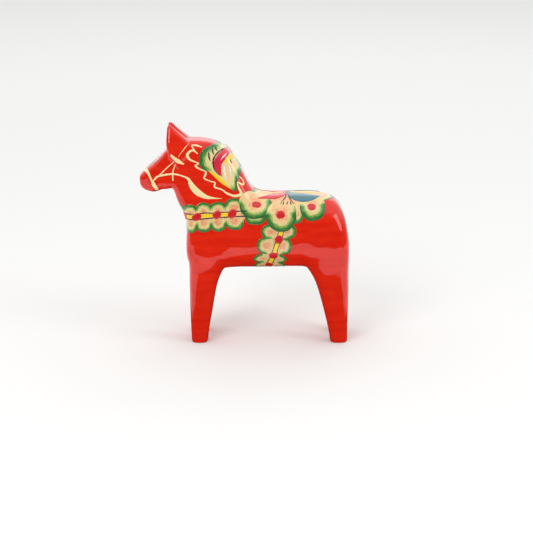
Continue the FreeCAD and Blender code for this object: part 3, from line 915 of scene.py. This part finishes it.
lobes = []
for side in SIDES:
    for i, (centre, half, high, turn, blunt) in enumerate(GIRTH_LOBES):
        outline = round_outline(centre, half, high, turn, blunt, green_from=-0.25)
        focus = (centre[0] - math.copysign(FOCUS_SHIFT, turn), centre[1])
        lift = NEIGHBOUR_LIFTS[i // 2 % 2]
        lobes.append(lobe(TORSO, side, outline, focus, lift, green_reach=5.2, seed=i + 40))
    lobes.append(stroke(side, girth_run(9.5), 0.0, across=12, seed=6))
gather("girth_lobes", lobes, GIRTH_PAINT, "girth")

# %% Paint the strap line and the dots of the girth
GIRTH_DOTS = ((25.8, 81.6, 2.9, 3.3), (21.6, 69.4, 3.5, 2.5), (18.4, 60.2, 3.2, 2.6), (18.6, 49, 3, 2.6))
strap, lines, dots = [], [], []
for side in SIDES:
    strap.append(stroke(side, girth_run(3.4), 0.12, seed=7))
    for offset in (-STRAP_EDGE, STRAP_EDGE):
        lines.append(stroke(side, girth_run(0.75, offset), 0.18, across=4, seed=offset, shake=0.3))
    dots += red_dots(TORSO, side, GIRTH_DOTS, DOT_LIFT, DOT_THICK, seed=9)
gather("girth_strap_line", strap, YELLOW_PAINT, "girth_strap")
gather("girth_edge_lines", lines, BLACK_LINE)
gather("girth_red_dots", dots, DOT_RED, "girth_dots")

# %% [markdown]
# ## The neck
# A leaf-shaped flower hangs from the crest, with a crimson band, dark and yellow strokes and a few white
# touches on it. A thin cream scroll runs beside it for the mane.

# %% Paint the flower and its crimson band
FLOWER = (
    # x, z, green
    (-12.5, 154.8, 0.6), (-24.2, 151.2, 1), (-30.4, 147.8, 1), (-33.2, 142.3, 1), (-32.8, 136.2, 1),
    (-29.6, 132.3, 0.9), (-24.6, 130.6, 0.3), (-19.0, 126.4, 0), (-13.4, 121.2, 0), (-6.4, 116.6, 0.9),
    (-4.6, 124.1, 1), (-0.6, 130.7, 1), (6.8, 137.5, 1), (4.4, 143.6, 0.5), (2, 149.6, 0), (-4, 153.6, 0.1),
)
HEART = (
    # x, z, width
    (1.5, 149.5, 1.8), (-7.5, 148.2, 4.8), (-15.0, 144.0, 6.4), (-19.2, 138.6, 6.6), (-19.0, 132.6, 4.6),
    (-16.4, 128.2, 0.6),
)
flower, crimson = [], []
for side in SIDES:
    flower.append(lobe(NECK, side, FLOWER, (-14, 139), 0.03, rings=16, around=110, green_reach=9.0, seed=50))
    crimson += strokes(NECK, side, [HEART], 0.18, across=12, seed=8)
gather("neck_flower_leaf", flower, FLOWER_PAINT, "neck_flower")
gather("neck_crimson_band", crimson, CRIMSON, "neck_heart")

# %% Paint the strokes on the flower
DARK_STROKES = (
    ((-4.0, 151.2, 0.4), (-13.2, 148.8, 0.9), (-20.4, 144.6, 1.1), (-23.0, 139.4, 1.1), (-22.0, 133.2, 0.9),
     (-18.0, 128.6, 0.4)),
    ((-25.9, 146.4, 0.5), (-25.8, 142.8, 1.3), (-25.1, 139.2, 0.4)),
    ((-23.0, 149.0, 0.5), (-23.0, 146.4, 1.3), (-22.5, 144.2, 0.4)),
    ((-20.4, 150.4, 0.5), (-20.3, 148.4, 1.3), (-19.6, 146.6, 0.4)),
    ((-9.6, 141.0, 0.4), (-9.3, 139.2, 1.0), (-8.8, 137.2, 0.3)),
)
YELLOW_STROKES = (
    ((-26.2, 132.0, 0.5), (-21.0, 128.6, 2.6), (-15.6, 123.6, 2.6), (-10.4, 119.2, 0.5)),
    ((-15.5, 137.6, 0.6), (-12.0, 140.6, 2.8), (-6.0, 143.6, 3.6), (2.4, 145.4, 3.8), (4.4, 144.4, 0.6)),
)
WHITE_STROKES = (
    ((-14.4, 136.2, 0.5), (-14.6, 131.2, 1.6), (-12.8, 125.6, 0.4)),
    ((-11.0, 136.0, 0.4), (-10.2, 132.0, 1.4), (-9.4, 127.4, 0.3)),
    ((-17.4, 140.0, 0.3), (-15.2, 142.6, 1.0), (-11.6, 145.2, 0.3)),
)
dark, yellow, white = [], [], []
for side in SIDES:
    dark += strokes(NECK, side, DARK_STROKES, 0.26, across=5, seed=12)
    yellow += strokes(NECK, side, YELLOW_STROKES, 0.14, across=8, seed=13)
    white += strokes(NECK, side, WHITE_STROKES, 0.3, across=5, seed=14)
gather("neck_dark_strokes", dark, BLACK_LINE)
gather("neck_yellow_strokes", yellow, YELLOW_PAINT)
gather("neck_white_touches", white, WHITE_TOUCH)

# %% Paint the mane
MANE = (
    (-31.2, 149.4, 0.8), (-35.5, 150.2, 1.5), (-39.9, 149.9, 1.2), (-37.5, 147.6, 1.0), (-34.4, 144.6, 0.9),
    (-36.8, 146.4, 1.2), (-39.6, 146.5, 1.6), (-42.2, 143.6, 2.3), (-40.2, 140.2, 1.8), (-36.0, 138.6, 1.1),
    (-33.8, 137.6, 1.0), (-35.8, 135.6, 1.6), (-32.6, 133.2, 1.2), (-28.6, 131.6, 1.2), (-28.6, 129.2, 1.6),
    (-29.6, 126.6, 1.2), (-25.0, 124.4, 1.0), (-21.6, 123.4, 1.1), (-21.8, 120.4, 1.4), (-16.4, 118.2, 1.1),
    (-12.9, 115.6, 1.6), (-7.0, 113.6, 2.0), (-2.2, 115.3, 2.4), (-3.8, 119.4, 1.6), (-5.0, 123.6, 1.1),
    (-0.4, 121.8, 1.8), (0.8, 124.6, 1.6), (-3.8, 128.6, 0.8),
)
cream = []
for side in SIDES:
    cream += strokes(NECK, side, [MANE], 0.04, across=6, seed=15, step=0.35)
gather("mane_cream_scroll", cream, CREAM_LINE, "mane_scroll")

# %% [markdown]
# ## The bridle
# The bridle is cream lines of one thin brush. The rein leaves the mouth as a thin arch, and swells into
# a long drop on the neck where the painter presses the brush down.

# %% Paint the bridle
BRIDLE = (
    ((-79.4, 136.6, 2.2), (-75.4, 133.6, 3.0), (-71.8, 129.6, 2.4), (-69.4, 124.6, 1.6), (-67.2, 120.6, 3.2),
     (-64.4, 116.4, 2.6)),
    ((-68.4, 122.6, 0.6), (-62.1, 128.7, 1.0), (-57.3, 133.7, 0.9), (-51.8, 138.6, 0.6)),
    ((-54.2, 143.8, 1.6), (-51.4, 141.0, 2.6), (-48.6, 138.8, 3.2), (-44.6, 136.6, 0.8)),
    ((-41.6, 153.8, 0.3), (-44.2, 148.2, 0.7), (-48.6, 142.5, 0.3)),
    ((-51.0, 136.8, 0.5), (-52.8, 130.4, 1.3), (-52.8, 124.0, 0.9)),
)
bridle = []
for side in SIDES:
    bridle += strokes(HEAD, side, BRIDLE, 0.04, across=6, seed=16)
gather("bridle_cream_lines", bridle, CREAM_LINE, "bridle")

# %% Paint the rein, which runs from the head's chart on to the neck's
REIN_ON_HEAD = ((-68.0, 123.2, 0.6), (-64.9, 126.4, 1.3), (-58.7, 128.5, 1.5), (-51.9, 129.1, 1.3))
REIN_ON_NECK = (
    (-45.2, 127.9, 1.2), (-41.4, 125.8, 2.0), (-38.6, 120.8, 4.2), (-34.6, 116.4, 5.0), (-28.6, 113.0, 3.2),
    (-22.8, 112.0, 1.4), (-16.4, 111.8, 0.3),
)
rein = []
for side in SIDES:
    line = [(HEAD, *point) for point in REIN_ON_HEAD] + [(NECK, *point) for point in REIN_ON_NECK]
    rein.append(stroke(side, line, 0.04, across=10, seed=17))
gather("rein_cream_drop", rein, CREAM_LINE, "rein")

# %% Paint the marks on the forehead
MARKS = (
    ((-69.6, 141.2, 0.4), (-67.6, 138.4, 1.1), (-65.7, 136.0, 0.4)),
    ((-67.6, 143.2, 0.4), (-65.8, 140.6, 1.2), (-63.8, 138.0, 0.4)),
    ((-65.6, 145.0, 0.4), (-64.0, 142.6, 1.1), (-62.2, 140.2, 0.4)),
)
marks = []
for side in SIDES:
    marks += strokes(HEAD, side, MARKS, 0.04, across=4, seed=18)
gather("forehead_dark_marks", marks, BLACK_LINE)

# %% [markdown]
# ## Floor, light and camera
# A pale, dull floor fills the view. To mirrored rays alone it isn't even, and that colour is painted
# reflection: it is dark round the feet, a painted shade, white from there to half a metre in front of
# the horse and all the way behind it, and dark again beyond, as a room is. The lacquer shows these
# painted zones as a pale band along the flank and down the legs.

# %% Floor
FLOOR_SIZE = 12
PALE = (0.80, 0.80, 0.79, 1)
ZONE_FADE = 0.02
WHITE_ZONE_Y = (4.0, 4.5)  # the middle of a zone and half its width, in metres
DARK_ZONE_X = (0.02, 0.13)
DARK_ZONE_Y = (0.0, 0.205)
WHITE_ZONE = 0.95
DARK_ZONE = 0.015

select_none()
bpy.ops.mesh.primitive_grid_add(x_subdivisions=8, y_subdivisions=8, size=FLOOR_SIZE, location=(0, 0, 0))
floor = bpy.context.object
floor.name = "floor"
floor_finish = bpy.data.materials.new("pale_floor")
floor_finish.use_nodes = True
tree = floor_finish.node_tree
shader = tree.nodes["Principled BSDF"]
shader.inputs["Roughness"].default_value = 0.9
shader.inputs["Specular IOR Level"].default_value = 0.1


def within(tree, value, middle, half):
    """1 where a coordinate is within `half` of `middle`, with a soft border."""
    away = math_node(tree, "ABSOLUTE", math_node(tree, "SUBTRACT", value, middle))
    return math_node(tree, "MULTIPLY", math_node(tree, "SUBTRACT", half, away), 1 / ZONE_FADE, True)


spot = add_node(tree, "ShaderNodeSeparateXYZ", {0: add_node(tree, "ShaderNodeTexCoord").outputs["Object"]})
white_zone = within(tree, spot.outputs["Y"], *WHITE_ZONE_Y)
dark_zone = math_node(
    tree, "MULTIPLY",
    within(tree, spot.outputs["X"], *DARK_ZONE_X), within(tree, spot.outputs["Y"], *DARK_ZONE_Y),
)
lit = math_node(tree, "MULTIPLY", white_zone, math_node(tree, "SUBTRACT", 1.0, dark_zone))
mirrored = math_node(tree, "MULTIPLY_ADD", lit, WHITE_ZONE)
mirrored.node.inputs[2].default_value = DARK_ZONE
# painted reflection: glossy rays see the white zone and the painted shade round the feet, all other rays see
# PALE
gloss_ray = add_node(tree, "ShaderNodeLightPath").outputs["Is Glossy Ray"]
tree.links.new(mix_colour(tree, gloss_ray, PALE, mirrored), shader.inputs["Base Color"])
floor.data.materials.append(floor_finish)
print("floor:", FLOOR_SIZE, "m wide")

# %% [markdown]
# A large soft light stands high at the front left, a weaker one at the right, and a faint one behind.
# The sky is darkest low down on the camera's side, and white overhead and behind the horse, so the red
# stays deep while its upper edges catch light.

# %% Lights
AIM = (0, 0, 0.08)
LIGHTS = (
    # name, place, width, height, watts
    ("key", (-0.75, -1.3, 1.0), 0.8, 0.8, 10.5),
    ("fill", (1.4, -0.7, 0.7), 0.8, 0.8, 6.5),
    ("back", (0.2, 1.5, 1.2), 1.6, 0.8, 3),
)
for name, place, width, height, watts in LIGHTS:
    light = bpy.data.lights.new(name, "AREA")
    light.shape = "RECTANGLE"
    light.size = width
    light.size_y = height
    light.energy = watts
    lamp = bpy.data.objects.new(name, light)
    lamp.location = place
    lamp.rotation_euler = (Vector(AIM) - Vector(place)).to_track_quat("-Z", "Y").to_euler()
    bpy.context.scene.collection.objects.link(lamp)
    print(name, "light:", watts, "W")

# %% Sky
SKY_LEAN = 0.4  # how much a way back counts as a way up
SKY_STRENGTH = 1.1
SKY = (
    # height, brightness
    (0.0, 0.08), (0.25, 0.35), (0.5, 1), (1.0, 1),
)
world = bpy.data.worlds.new("studio")
bpy.context.scene.world = world
world.use_nodes = True
tree = world.node_tree
way = add_node(tree, "ShaderNodeTexCoord").outputs["Generated"]
parts = add_node(tree, "ShaderNodeSeparateXYZ", {0: way})
behind = math_node(tree, "MULTIPLY_ADD", parts.outputs["Y"], SKY_LEAN)
tree.links.new(parts.outputs["Z"], behind.node.inputs[2])
sky = ramp(tree, behind, [(height, (light, light, light, 1)) for height, light in SKY])
tree.links.new(sky, tree.nodes["Background"].inputs["Color"])
tree.nodes["Background"].inputs["Strength"].default_value = SKY_STRENGTH
print("sky stops:", len(SKY))

# %% Camera
CAMERA_PLACE = (0.0165, -1.2357, 0.4009)
CAMERA_TILT = 15.66  # degrees down from level
CAMERA_LENS = 114.1
camera = bpy.data.objects.new("camera", bpy.data.cameras.new("camera"))
bpy.context.scene.collection.objects.link(camera)
bpy.context.scene.camera = camera
camera.location = CAMERA_PLACE
camera.rotation_euler = (math.radians(90 - CAMERA_TILT), 0, 0)
camera.data.sensor_width = 36
camera.data.lens = CAMERA_LENS
camera.data.clip_end = 50
bpy.context.scene.view_settings.view_transform = "Standard"
print("camera lens:", CAMERA_LENS, "mm")
